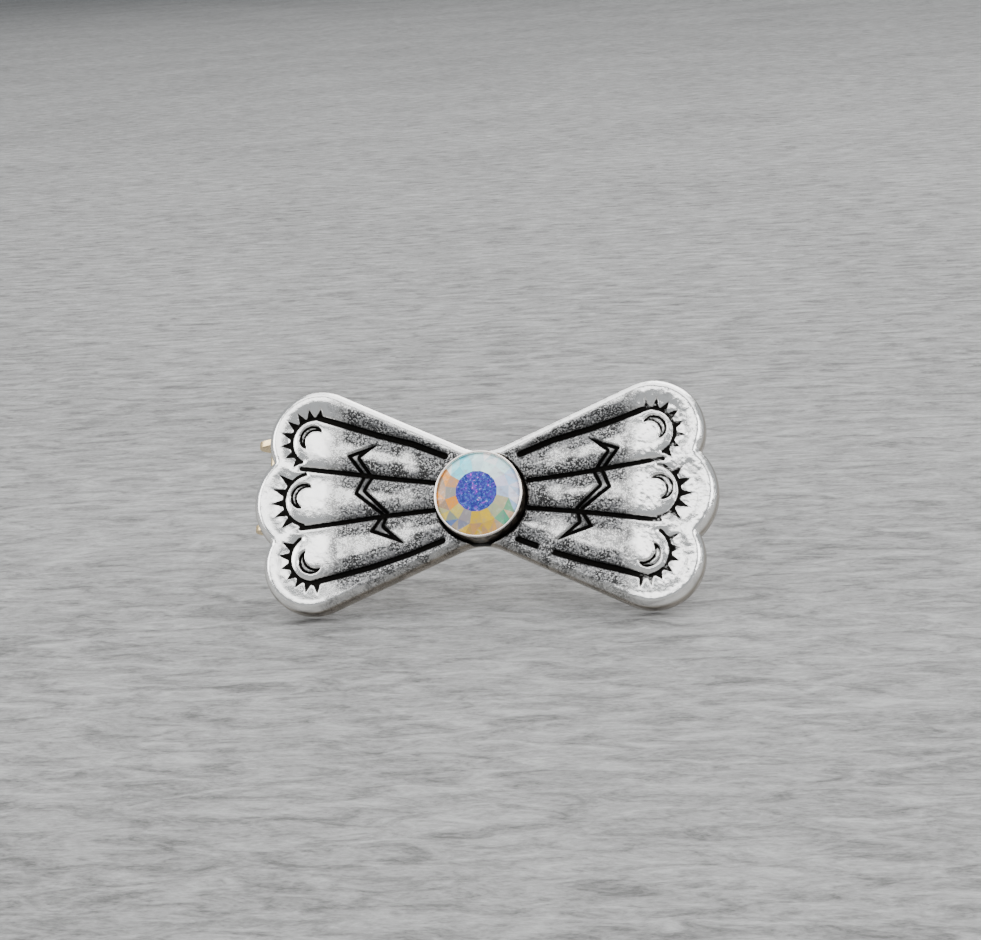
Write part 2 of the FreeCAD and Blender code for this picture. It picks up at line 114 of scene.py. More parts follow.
# a ray's cut: how far outside its line it starts, its wall, and the share of the way to its bed that it goes
RAY_START = 0.05
RAY_WALL = 0.15
RAY_BED = 0.05
RAY_DEPTH_SHARE = 0.9
# crescents: centre x and z, radius, and the two ends' directions
CRESCENTS = ((14.75, 5.4, 0.97, -57, 144), (15.3, 0.35, 0.98, -80, 129), (14.3, -5.1, 1.02, -133, 48))
CRESCENT_HALF = 0.36
# on the right wing the ornament's outer part lies further in, and a flaw bridges the lower groove
RIGHT_SHIFT = 0.5
RIGHT_SHIFT_FROM = 11.0
RIGHT_SHIFT_RUN = 3.5
BRIDGE = (5.5, -4.7)
BRIDGE_RADIUS = 0.42
BRIDGE_BELOW_TOP = 0.1
ZIGZAG_INNER = ((8.95, 4.8), (10.5, 3.6), (9.3, 1.9), (9.9, 0.7), (7.9, -1.2), (8.2, -2.4), (6.4, -4.0))
ZIGZAG_OUTER = ((9.5, -2.9), (8.6, -1.4), (10.95, 0.45), (10.3, 2.0), (11.7, 3.85))
ZIGZAG_REACH = (5.5, 12.5)
# the zigzag fades out in the grooves it crosses: from nothing this far below the ground, over this height
ZIGZAG_FADE_BELOW = 0.1
ZIGZAG_FADE = 0.2
# a cut with a raised floor: where its wall starts outside the line, the wall's width and the depth, then
# where the floor starts inside the line, the width it rises over, its height, and how much less black it is
Cut = namedtuple("Cut", "start wall depth floor_start floor_wall floor_height floor_shade")
CRESCENT_CUT = Cut(start=0.03, wall=0.12, depth=0.36,
                   floor_start=0.17, floor_wall=0.1, floor_height=0.12, floor_shade=0.42)
ZIGZAG_CUT = Cut(start=0.08, wall=0.14, depth=0.33,
                 floor_start=0.2, floor_wall=0.13, floor_height=0.2, floor_shade=0.5)

# the rounded rim is meshed by rings at these shares of its width
RIM_SHARES = (0.03, 0.1, 0.2, 0.33, 0.5, 0.7, 0.9)
# the raised rim: how far in it starts to drop, over what width, and the width it rises over at the edge
RIM_INNER = 1.9
RIM_INNER_WALL = 1.0
RIM_EDGE = 0.2
RIM_EDGE_WALL = 0.4
# the casting's bumps, coarse and fine: height, size and random seed, then the left wing's share of them
BUMPS = ((0.022, 0.34, 3), (0.012, 0.17, 4))
LEFT_ROUGHNESS = 0.35
ROUGHER_OVER = 4.0
# the hollow round the cup, and the black that gathers in it, with more black under the cup as painted shadow
HOLLOW_WIDTH = 0.2
HOLLOW_SHADE = 0.24
UNDER_CUP_Z = -3.0
UNDER_CUP_RUN = 0.6
UNDER_CUP_SHADOW = 0.6

# wear and painted highlight that brighten the metal: how strong it is, and pairs of where it starts and the
# width it grows over
OUTER_WEAR_AND_HIGHLIGHT = 0.9
OUTER_HIGHLIGHT_X = (11.4, 2.6)
INNER_WEAR_AND_HIGHLIGHT = 0.5
INNER_HIGHLIGHT_EDGE = (0.35, 0.6)
INNER_HIGHLIGHT_X = 6.2
INNER_HIGHLIGHT_HALF = 1.5
PAST_END_WEAR_AND_HIGHLIGHT = 0.55
PAST_END_HIGHLIGHT_EDGE = (0.9, 0.5)
# the bright brim along the outline, a painted highlight on the rim's ridge as well as wear, and the share of
# the black that is rubbed off it
BRIM_WIDTH = 1.0
BRIM_RUN = 0.55
BRIM_CLEANS = 0.9
# the lower brim, short of the bow's ends, is kept less bright: painted shade
LOWER_BRIM_SHADE = 0.7
LOWER_BRIM_Z = (1.5, 2.0)
LOWER_BRIM_X = (15.0, 3.0)
# smudges thin the black near the bow's ends
SMUDGE = 0.35
SMUDGE_SIZE = 0.5
SMUDGE_SEED = 5
SMUDGE_X = (12.0, 2.0)
SMUDGE_STEP = (0.35, 0.4)
# a distance that counts as away from every cut
FAR = 9.0
NOISE_CELLS = 64

# ---- sizes of the stone, its cup and the pin, in millimetres ----

STONE_Z = -0.2
BEZEL_RING = 3.84
GIRDLE_RADIUS = 3.53
GIRDLE_FRONT = -3.2
GIRDLE_HEIGHT = 0.3
TABLE_RADIUS = 1.75
TABLE_FACE = -4.1
CROWN_RADIUS = 2.72
CROWN_FACE = -3.76
CULET = -0.75
CUP_SEAT = -1.4
CUP_RADIUS = 3.74
CUP_BORE = 3.57
CUP_LIP_REACH = 3.5
# the lip is a roll of metal with this radius, along a ring
LIP_RING_RADIUS = 3.625
LIP_RING_Y = -3.3
LIP_ROLL = 0.11
# the lip's bright metal starts here and is full this much further forward
LIP_LINE = -3.12
LIP_FADE = 0.12
CUP_SIDES = 128
STONE_SIDES = 16
STONE_SEED = 11

WIRE_RADIUS = 0.375
COIL_RADIUS = 0.825
COIL_TURNS = 3
COIL_PITCH = 0.765
STEM_LENGTH = 34.9
TIP_LENGTH = 4.2
TIP_RADIUS = 0.06
OPEN_AT_REST = 32.0


def polar(angle, radius=1.0):
    """Cosine and sine of an angle in degrees, times a radius."""
    return radius * math.cos(math.radians(angle)), radius * math.sin(math.radians(angle))


def arc_points(cx, cz, radius, first, last):
    """Points along an arc, without its last one."""
    count = max(2, int(abs(math.radians(last - first)) * radius / OUTLINE_STEP))
    angles = np.radians(np.linspace(first, last, count + 1)[:-1])
    return np.stack([cx + radius * np.cos(angles), cz + radius * np.sin(angles)], 1)


def line_points(a, b):
    """Points along a straight line, without its last one."""
    a, b = np.array(a), np.array(b)
    count = max(2, int(np.linalg.norm(b - a) / OUTLINE_STEP))
    return a + (b - a) * np.linspace(0, 1, count + 1)[:-1, None]


def notch_point():
    """Where the middle lobe's circle crosses the upper corner lobe's, at the bow's right end."""
    middle_x = HALF_LENGTH - MIDDLE_LOBE
    dx = CORNER_X - middle_x
    gap = math.hypot(dx, CORNER_Z)
    along = (gap**2 + MIDDLE_LOBE**2 - CORNER_LOBE**2) / (2 * gap)
    across = math.sqrt(MIDDLE_LOBE**2 - along**2)
    return middle_x + dx / gap * along + CORNER_Z / gap * across, CORNER_Z / gap * along - dx / gap * across


def outline_points():
    """The bow's outline, anticlockwise: one quarter, mirrored up and down and then left and right."""
    notch_x, notch_z = notch_point()
    middle_x = HALF_LENGTH - MIDDLE_LOBE
    waist_z = WAIST_HEIGHT + WAIST_RADIUS
    dx, dz = CORNER_X, CORNER_Z - waist_z
    swing = math.degrees(math.acos((WAIST_RADIUS + CORNER_LOBE) / math.hypot(dx, dz)))
    toward = math.degrees(math.atan2(dz, dx)) - swing
    on_waist = np.array(polar(toward, WAIST_RADIUS)) + (0, waist_z)
    on_lobe = np.array((CORNER_X, CORNER_Z)) - polar(toward, CORNER_LOBE)
    notch_turn = math.degrees(math.atan2(notch_z, notch_x - middle_x))
    lobe_turn = math.degrees(math.atan2(notch_z - CORNER_Z, notch_x - CORNER_X))
    quarter = np.concatenate([
        arc_points(middle_x, 0, MIDDLE_LOBE, 0, notch_turn),
        arc_points(CORNER_X, CORNER_Z, CORNER_LOBE, lobe_turn, toward + 180),
        line_points(on_lobe, on_waist),
        arc_points(0, waist_z, WAIST_RADIUS, toward, -90),
    ])
    upper = np.concatenate([quarter, [(0, WAIST_HEIGHT)], quarter[:0:-1] * (-1, 1)])
    return np.concatenate([upper, [(-HALF_LENGTH, 0)], upper[:0:-1] * (1, -1)])


def edge_distance(points, line, closed=True):
    """Distance of each point from a line through some points, which may come back to its start."""
    a, b = (line, np.roll(line, -1, 0)) if closed else (line[:-1], line[1:])
    along = b - a
    length2 = (along**2).sum(1)
    found = np.empty(len(points))
    for i in range(0, len(points), 4096):
        p = points[i : i + 4096, None, :] - a
        t = np.clip((p * along).sum(2) / length2, 0, 1)
        found[i : i + 4096] = np.sqrt(((p - along * t[..., None]) ** 2).sum(2).min(1))
    return found


def inside(points, outline):
    """True for each point that lies in a closed outline."""
    x, z = points[:, 0], points[:, 1]
    odd = np.zeros(len(points), bool)
    for (ax, az), (bx, bz) in zip(outline, np.roll(outline, -1, 0)):
        if az == bz:
            continue
        crosses = (az > z) != (bz > z)
        odd ^= crosses & (x < (bx - ax) * (z - az) / (bz - az) + ax)
    return odd


def rise(distance, width):
    """From 0 to 1 as a distance goes from 0 to a width, smoothly."""
    t = np.clip(distance / width, 0, 1)
    return t * t * (3 - 2 * t)


def grows(value, start_and_width):
    """From 0 to 1 as a value passes a start and goes on over a width."""
    start, width = start_and_width
    return rise(value - start, width)


def soft_noise(points, size, seed):
    """Smooth random values from -1 to 1 over the plane, with bumps of about a size."""
    values = np.random.default_rng(seed).uniform(-1, 1, (NOISE_CELLS, NOISE_CELLS))
    place = points / size
    cell = np.floor(place).astype(int)
    t = place - cell
    t = t * t * (3 - 2 * t)
    i, k = cell[:, 0] % NOISE_CELLS, cell[:, 1] % NOISE_CELLS
    next_i, next_k = (i + 1) % NOISE_CELLS, (k + 1) % NOISE_CELLS
    near = values[i, k] * (1 - t[:, 0]) + values[next_i, k] * t[:, 0]
    far = values[i, next_k] * (1 - t[:, 0]) + values[next_i, next_k] * t[:, 0]
    return near * (1 - t[:, 1]) + far * t[:, 1]


def groove_distance(points):
    """Distance from the nearest groove's edge, below 0 inside one."""
    best = np.full(len(points), FAR)
    for half, line in GROOVES:
        best = np.minimum(best, edge_distance(points, np.array(line), closed=False) - half)
    for cx, cz, radius, first, last in PETAL_ENDS:
        line = arc_points(cx, cz, radius, first, last)
        best = np.minimum(best, edge_distance(points, line, closed=False) - END_GROOVE)
    return best


def ray_distance(x, z, end, rays):
    """Signed distance, roughly, from the triangles that fan out round a petal's end."""
    cx, cz, radius, _, _ = end
    first, last, count, length = rays
    reach = np.hypot(x - cx, z - cz)
    turn = np.degrees(np.arctan2(z - cz, x - cx))
    best = np.full(len(x), FAR)
    out = reach - radius - RAY_GAP
    for i in range(count):
        uneven = math.sin(5.3 * i + cz)
        angle = first + (last - first) * i / (count - 1) + RAY_UNEVEN_TURN * uneven
        sideways = np.radians((turn - angle + 180) % 360 - 180) * reach
        half = RAY_BASE * (1 - out / (length + RAY_UNEVEN_LENGTH * uneven))
        best = np.minimum(best, np.maximum((np.abs(sideways) - half) * 0.9, -out))
    return best


def crescent_distance(x, z, crescent):
    """Signed distance, roughly, from a crescent that is widest at its middle."""
    cx, cz, radius, first, last = crescent
    reach = np.hypot(x - cx, z - cz)
    turn = (np.degrees(np.arctan2(z - cz, x - cx)) - first) % 360
    share = np.clip(turn / (last - first), 0, 1)
    half = CRESCENT_HALF * np.sin(np.pi * share) ** 0.6
    return np.where(turn > last - first, FAR, np.abs(reach - radius) - half)


def carve(distance, cut):
    """Depth and blackness of a cut with a raised floor; distance is below 0 inside its line."""
    wall = rise(-distance + cut.start, cut.wall)
    floor = rise(-distance - cut.floor_start, cut.floor_wall)
    return cut.depth * wall - cut.floor_height * floor, wall - cut.floor_shade * floor


def wing_relief(x, z):
    """Height above the back, recess, and polish with painted highlight of each point of a wing; x counts
    outwards.
    """
    points = np.stack([x, z], 1)
    groove = groove_distance(points)
    outward = np.clip((x - END_DROP_FROM) / END_DROP_RUN, 0, 1)
    shoulder = SHOULDER_DROP * np.exp(-np.maximum(groove, 0) / SHOULDER_WIDTH)
    top = PETAL_TOP - END_DROP * outward**2 - shoulder
    up = rise(groove + GROOVE_START, GROOVE_WALL)
    height = GROUND - GROOVE_DEPTH + (top - GROUND + GROOVE_DEPTH) * up
    recess = 1 - rise(groove, GROOVE_SHADE)

    for end, rays in zip(PETAL_ENDS, RAYS):
        cut = rise(-ray_distance(x, z, end, rays) + RAY_START, RAY_WALL)
        height = height - cut * np.maximum(height - GROUND + RAY_BED, 0) * RAY_DEPTH_SHARE
        recess = np.maximum(recess, cut)

    for crescent in CRESCENTS:
        depth, shade = carve(crescent_distance(x, z, crescent), CRESCENT_CUT)
        height = height - depth
        recess = np.maximum(recess, shade)

    band = np.array(ZIGZAG_INNER + ZIGZAG_OUTER)
    near = (x > ZIGZAG_REACH[0]) & (x < ZIGZAG_REACH[1])
    distance = np.full(len(x), FAR)
    distance[near] = edge_distance(points[near], band) * np.where(inside(points[near], band), -1, 1)
    depth, shade = carve(distance, ZIGZAG_CUT)
    height = height - depth * np.clip((height - GROUND + ZIGZAG_FADE_BELOW) / ZIGZAG_FADE, 0, 1)
    recess = np.maximum(recess, shade)

    return height, recess, wing_polish_and_highlight(x, z, groove)


def wing_polish_and_highlight(x, z, groove):
    """How much wear and painted highlight brighten a wing: its outer part, the petals by the stone and the
    rim past them.
    """
    outer = np.clip((x - OUTER_HIGHLIGHT_X[0]) / OUTER_HIGHLIGHT_X[1], 0, OUTER_WEAR_AND_HIGHLIGHT)
    # painted highlight on the petals by the stone, with some wear
    inner = INNER_WEAR_AND_HIGHLIGHT * grows(groove, INNER_HIGHLIGHT_EDGE)
    inner = inner * rise(INNER_HIGHLIGHT_HALF - np.abs(x - INNER_HIGHLIGHT_X), INNER_HIGHLIGHT_HALF)
    polish_and_highlight = np.maximum(outer, inner)
    past_end = np.minimum.reduce([np.hypot(x - cx, z - cz) - radius for cx, cz, radius, _, _ in PETAL_ENDS])
    on_rim = (past_end > 0) & (groove > 0)
    worn_and_lit = np.maximum(polish_and_highlight, PAST_END_WEAR_AND_HIGHLIGHT * grows(groove, PAST_END_HIGHLIGHT_EDGE))
    return np.where(on_rim, worn_and_lit, polish_and_highlight)


def plate_relief(points, edge):
    """Height, recess and polish over the whole face, with painted light in them: a painted shadow in the
    black below the cup, and painted highlight and shade in the polish; edge is the distance from the outline.
    """
    x, z = points[:, 0], points[:, 1]
    along = np.abs(x) + RIGHT_SHIFT * rise(x - RIGHT_SHIFT_FROM, RIGHT_SHIFT_RUN)
    height, recess, polish_and_highlight = wing_relief(along, z)
    bridge = rise(2 * BRIDGE_RADIUS - np.hypot(x - BRIDGE[0], z - BRIDGE[1]), BRIDGE_RADIUS)
    height = height + bridge * np.maximum(PETAL_TOP - BRIDGE_BELOW_TOP - height, 0)
    recess = recess * (1 - bridge)

    rough = LEFT_ROUGHNESS + (1 - LEFT_ROUGHNESS) * rise(x, ROUGHER_OVER)
    for bump_height, size, seed in BUMPS:
        height = height + rough * bump_height * soft_noise(points, size, seed)
    smudge = 0.5 + 0.5 * soft_noise(points, SMUDGE_SIZE, SMUDGE_SEED)
    recess = recess * (1 - SMUDGE * grows(x, SMUDGE_X) * grows(smudge, SMUDGE_STEP))

    ridge = rise(RIM_INNER - edge, RIM_INNER_WALL) * rise(edge - RIM_EDGE, RIM_EDGE_WALL)
    height = height + (RIM_TOP - PETAL_TOP) * ridge
    ring = np.hypot(x, z - STONE_Z) - BEZEL_RING
    hollow = GROUND + (height - GROUND) * rise(ring, HOLLOW_WIDTH)
    height = np.where(ring < HOLLOW_WIDTH, hollow, height)
    # painted shadow: the black round the cup grows stronger below it
    below = rise(-z + UNDER_CUP_Z, UNDER_CUP_RUN)
    ring_black_and_shadow = (1 - rise(ring, HOLLOW_SHADE)) * (1 + UNDER_CUP_SHADOW * below)
    over = np.clip(RIM_ROUNDING - edge, 0, RIM_ROUNDING)
    rounded = RIM_ROUNDING - np.sqrt(RIM_ROUNDING**2 - over**2)
    height = np.maximum(height - rounded, GROUND - RIM_ROUNDING)

    # painted highlight: the brim along the outline is brightened, partly as wear
    brim = rise(BRIM_WIDTH - edge, BRIM_RUN)
    # painted shade: the lower brim is kept duller
    lower = grows(-z, LOWER_BRIM_Z) * rise(LOWER_BRIM_X[0] - np.abs(x), LOWER_BRIM_X[1])
    recess = np.maximum(recess * (1 - BRIM_CLEANS * brim), ring_black_and_shadow)
    return height, recess, np.maximum(polish_and_highlight, brim * (1 - LOWER_BRIM_SHADE * lower))


def mesh_piece(name, vertices, faces, body, materials, smooth=True):
    """A mesh in plate millimetres, put in its place and riding on a body."""
    mesh = bpy.data.meshes.new(name)
    mesh.from_pydata([tuple(v) for v in vertices], [], faces)
    mesh.transform(PLATE)
    mesh.update()
    piece = bpy.data.objects.new(name, mesh)
    bpy.context.scene.collection.objects.link(piece)
    for material in materials:
        mesh.materials.append(material)
    mesh.polygons.foreach_set("use_smooth", [smooth] * len(mesh.polygons))
    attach(piece, body)
    return piece


def inset_ring(outline, inset):
    """The outline with each point moved inwards."""
    tangent = np.roll(outline, -1, 0) - np.roll(outline, 1, 0)
    tangent /= np.linalg.norm(tangent, axis=1)[:, None]
    normal = np.stack([-tangent[:, 1], tangent[:, 0]], 1)
    return outline + normal * inset


def face_points(outline):
    """The points to mesh the face through: the outline, rings inside the rounded rim, and a fine grid."""
    rings = []
    for share in RIM_SHARES:
        ring = inset_ring(outline, RIM_ROUNDING * share)
        off = edge_distance(ring, outline)
        rings.append(ring[off > RIM_ROUNDING * share * 0.93])
    xs = np.arange(-HALF_LENGTH, HALF_LENGTH, GRID_STEP)
    zs = np.arange(-10, 10, GRID_STEP)
    grid = np.stack([g.ravel() for g in np.meshgrid(xs, zs)], 1)
    grid = grid[inside(grid, outline)]
    grid = grid[edge_distance(grid, outline) > RIM_ROUNDING * 0.95]
    return np.concatenate([outline, *rings, grid])


def fill_outline(points, count):
    """Points and triangles that fill the closed loop through the first points, and where each point went."""
    loop = [(i, (i + 1) % count) for i in range(count)]
    filled = geometry.delaunay_2d_cdt([Vector(p) for p in points], loop, [], 1, 1e-7)
    found, _, triangles, origins, _, _ = filled
    return found, triangles, origins


def bow_mesh(material):
    """The cast bow: a relief over a fine grid, a rounded rim, a wall and a flat back."""
    outline = outline_points()
    count = len(outline)
    found, triangles, origins = fill_outline(face_points(outline), count)
    points = np.array([tuple(p) for p in found])
    edge = edge_distance(points, outline)
    height, recess, polish_and_highlight = plate_relief(points, edge)
    vertices = np.stack([points[:, 0], -height, points[:, 1]], 1)
    faces = [tuple(f) for f in triangles]
    if geometry.normal([Vector((*points[i], 0)) for i in faces[0]]).z < 0:
        faces = [f[::-1] for f in faces]
    source = {given: i for i, several in enumerate(origins) for given in several}
    levels = [[source[i] for i in range(count)]]

    extra = []
    start = len(vertices)
    for inset, forward in ((0, 2), (0.3, 0.3), (1, 0)):
        ring = inset_ring(outline, inset * BACK_ROUNDING)
        y = np.full(count, -BACK_ROUNDING * forward)
        extra.append(np.stack([ring[:, 0], y, ring[:, 1]], 1))
        levels.append(list(range(start, start + count)))
        start += count
    for upper, lower in zip(levels, levels[1:]):
        for i in range(count):
            j = (i + 1) % count
            faces.append((upper[j], upper[i], lower[i], lower[j]))
    _, triangles, origins = fill_outline([(v[0], v[2]) for v in extra[-1]], count)
    last = levels[-1]
    given = [several[0] for several in origins]
    faces.extend(tuple(last[given[i]] for i in f[::-1]) for f in triangles)

    vertices = np.concatenate([vertices, *extra])
    piece = mesh_piece("bow_casting", vertices, faces, "bow", [material])
    padding = np.zeros(len(vertices) - len(points))
    # the wall mask is where the wall and back get painted shade
    wall = 1 - rise(edge, 0.2)
    # polish carries wear and painted highlight; recess carries the antique black and a painted shadow under
    # the cup
    for name, values, behind in (("recess", recess, 0.0), ("polish_and_highlight", polish_and_highlight, 0.85), ("wall", wall, 1.0)):
        attribute = piece.data.attributes.new(name, "FLOAT", "POINT")
        attribute.data.foreach_set("value", np.concatenate([values, padding + behind]).astype(np.float32))
    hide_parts("bow_plate")


# ---- the stone and its cup ----


def ring_points(count, radius, y, offset=0.0):
    """Points round the stone's axis; offset is in steps."""
    found = []
    for i in range(count):
        x, z = polar(360 * (i + offset) / count, radius)
        found.append((x, y, z + STONE_Z))
    return found


def lathe(profile, sides):
    """Vertices and faces of a closed profile (radius, y) turned round the stone's axis."""
    vertices = []
    for radius, y in profile:
        vertices += ring_points(sides, radius, y)
    faces = []
    for k in range(len(profile)):
        below = (k + 1) % len(profile)
        for i in range(sides):
            j = (i + 1) % sides
            faces.append((k * sides + i, k * sides + j, below * sides + j, below * sides + i))
    return vertices, faces


def cup_piece(material):
    """The turned cup: a straight wall and a lip rolled over the stone."""
    wall = [(CUP_RADIUS, CUP_SEAT), (CUP_RADIUS, -2.6), (CUP_RADIUS - 0.02, -3.1)]
    rolled = []
    for i in range(9):
        x, y = polar(10 + 160 * i / 8, LIP_ROLL)
        rolled.append((LIP_RING_RADIUS + x, LIP_RING_Y - y))
    bore = [(CUP_LIP_REACH, LIP_RING_Y), (CUP_BORE, -3.22), (CUP_BORE, -2.9), (CUP_BORE, CUP_SEAT)]
    vertices, faces = lathe(wall + rolled + bore, CUP_SIDES)
    piece = mesh_piece("stone_cup", vertices, faces, "bow", [material])
    lip = piece.data.attributes.new("lip", "FLOAT", "POINT")
    share = [(LIP_LINE - y) / LIP_FADE for _, y, _ in vertices]
    lip.data.foreach_set("value", [min(1.0, max(0.0, value)) for value in share])
    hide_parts("bezel_cup")


# the crown's colours, all the way round, set by facet direction: the coating's colours, with painted
# reflections where they are pale: first and last direction in degrees from +X, and two colours
CROWN_COLOURS_AND_REFLECTIONS = (
    (-22, 40, (0.42, 0.68, 1.0), (0.84, 0.80, 1.0)),
    (40, 92, (0.62, 0.95, 1.0), (1.0, 0.95, 0.98)),
    (92, 146, (0.10, 0.78, 0.95), (0.85, 1.0, 0.97)),
    (146, 205, (0.98, 0.36, 0.02), (0.10, 0.22, 0.24)),
    (205, 225, (0.95, 0.72, 0.08), (0.08, 0.24, 0.30)),
    (225, 250, (0.62, 0.48, 0.26), (0.05, 0.20, 0.62)),
    (250, 300, (1.0, 0.66, 0.03), (0.85, 0.42, 0.18)),
    (300, 338, (0.98, 0.52, 0.30), (0.04, 0.52, 0.30)),
)
TABLE_COLOURS = ((0.004, 0.012, 0.22), (0.035, 0.015, 0.32))


def crown_colour_and_reflection(angle, chance):
    """A facet's colour by its direction, partly painted reflection: a seeded step between its sector's two
    colours.
    """
    for first, last, one, other in CROWN_COLOURS_AND_REFLECTIONS:
        if (angle - first) % 360 <= last - first:
            share = chance.random() ** 1.3
            light = 0.82 + 0.3 * chance.random()
            return tuple(min(1.0, (a + (b - a) * share) * light) for a, b in zip(one, other))


def stone_rings(sides):
    """The stone's points, ring by ring: the table in three rings, the crown, the girdle and the point."""
    return [
        [(0, TABLE_FACE, STONE_Z)],
        ring_points(sides // 2, TABLE_RADIUS * 0.36, TABLE_FACE, 0.5),
        ring_points(sides, TABLE_RADIUS * 0.7, TABLE_FACE),
        ring_points(sides, TABLE_RADIUS, TABLE_FACE, 0.5),
        ring_points(sides, CROWN_RADIUS, CROWN_FACE, 0.5),
        ring_points(sides * 2, GIRDLE_RADIUS, GIRDLE_FRONT, 0.5),
        ring_points(sides * 2, GIRDLE_RADIUS, GIRDLE_FRONT + GIRDLE_HEIGHT, 0.5),
        [(0, CULET, STONE_Z)],
    ]


def stone_facets(rings):
    """Facets between the rings, each a tuple of point numbers."""
    first = [sum(len(ring) for ring in rings[:k]) for k in range(len(rings))]

    def at(ring, i):
        return first[ring] + i % len(rings[ring])

    faces = []
    for i in range(len(rings[1])):
        faces.append((at(0, 0), at(1, i), at(1, i + 1)))
        faces.append((at(1, i), at(2, 2 * i + 1), at(2, 2 * i + 2)))
        faces.append((at(1, i), at(2, 2 * i + 2), at(1, i + 1)))
        faces.append((at(1, i + 1), at(2, 2 * i + 2), at(2, 2 * i + 3)))
    for i in range(len(rings[2])):
        faces.append((at(2, i), at(3, i), at(2, i + 1)))
        faces.append((at(3, i - 1), at(3, i), at(2, i)))
        faces.append((at(3, i - 1), at(4, i - 1), at(4, i), at(3, i)))
        faces.append((at(4, i - 1), at(5, 2 * i - 2), at(5, 2 * i - 1)))
        faces.append((at(4, i - 1), at(5, 2 * i - 1), at(4, i)))
        faces.append((at(4, i), at(5, 2 * i - 1), at(5, 2 * i)))
        for k in (2 * i, 2 * i + 1):
            faces.append((at(5, k), at(6, k), at(6, k + 1), at(5, k + 1)))
            faces.append((at(6, k), at(7, 0), at(6, k + 1)))
    return faces


def stone_piece(materials):
    """The cut crystal: a table with the pavilion's facets seen in it, a crown, a girdle and a point."""
    chance = random.Random(STONE_SEED)
    rings = stone_rings(STONE_SIDES)
    vertices = [point for ring in rings for point in ring]
    faces = stone_facets(rings)
    piece = mesh_piece("crystal_cut", vertices, faces, "bow", materials, smooth=False)
    tint_and_reflection = piece.data.attributes.new("tint_and_reflection", "FLOAT_COLOR", "CORNER")
    colours = []
    for face, polygon in zip(faces, piece.data.polygons):
        middle = np.mean([vertices[i] for i in face], 0)
        angle = math.degrees(math.atan2(middle[2] - STONE_Z, middle[0]))
        on_table = max(vertices[i][1] for i in face) < TABLE_FACE + 0.01
        polygon.material_index = 1 if on_table else 0
        if on_table:
            share = chance.random()
            colour = tuple(a + (b - a) * share for a, b in zip(*TABLE_COLOURS))
        else:
            # the crown's colours, set by direction, are partly painted reflections
            colour = crown_colour_and_reflection(angle, chance)
        colours += [(*colour, 1.0)] * len(face)
    tint_and_reflection.data.foreach_set("color", np.array(colours, np.float32).ravel())
    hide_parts("crystal_stone")


# ---- the pin ----


def tube(path, radii, sides):
    """Vertices and faces of a round wire along a path, with a closed end at each side."""
    path = [Vector(p) for p in path]
    vertices, faces = [], []
    side = None
    for i, p in enumerate(path):
        before, after = path[max(i - 1, 0)], path[min(i + 1, len(path) - 1)]
        heading = (after - before).normalized()
        if side is None:
            side = heading.orthogonal().normalized()
        side = (side - heading * side.dot(heading)).normalized()
        other = heading.cross(side)
        for k in range(sides):
            x, y = polar(360 * k / sides, radii[i])
            vertices.append(p + side * x + other * y)
    for i in range(len(path) - 1):
        for k in range(sides):
            m = (k + 1) % sides
            a, b = i * sides, (i + 1) * sides
            faces.append((a + k, a + m, b + m, b + k))
    last = (len(path) - 1) * sides
    faces.append(tuple(range(sides))[::-1])
    faces.append(tuple(range(last, last + sides)))
    return vertices, faces


def pin_piece(material):
    """The wire pin, opened as the CAD pin is: a coil round the rivet, a straight stem and a long taper."""
    hinge_x, hinge_y, stem_z = HINGE_POINT
    leaves = OPEN_AT_REST + 90
    path, radii = [], []
    steps = 36 * COIL_TURNS
    for i in range(steps + 1):
        left = 1 - i / steps
        x, y = polar(leaves + 360 * COIL_TURNS * left, COIL_RADIUS)
        path.append((hinge_x + x, hinge_y + y, stem_z - COIL_PITCH * COIL_TURNS * left))
        radii.append(WIRE_RADIUS * (0.8 if i == 0 else 1))
    root_x, root_y = polar(leaves, COIL_RADIUS)
    along_x, along_y = polar(OPEN_AT_REST)
    straight = np.linspace(0.4, STEM_LENGTH - TIP_LENGTH, 24)
    taper = np.linspace(0, TIP_LENGTH, 16)[1:] + STEM_LENGTH - TIP_LENGTH
    for s in [*straight, *taper]:
        path.append((hinge_x + root_x + s * along_x, hinge_y + root_y + s * along_y, stem_z))
        left = min(1.0, (STEM_LENGTH - s) / TIP_LENGTH)
        radii.append(TIP_RADIUS + (WIRE_RADIUS - TIP_RADIUS) * left**0.75)
    vertices, faces = tube(path, radii, 20)
    piece = mesh_piece("pin_wire", vertices, faces, "pin", [material])
    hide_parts("pin_stem")


def soften(name, width, material, segments=3):
    """A CAD node kept as it is, with rounded edges and a better material."""
    node = frame["nodes"][name]
    bevel = node.modifiers.new("rounded_edges", "BEVEL")
    bevel.width = width * MM
    bevel.segments = segments
    bevel.limit_method = "ANGLE"
    bevel.angle_limit = math.radians(38)
    for slot in node.material_slots:
        slot.material = material


# ---- materials ----


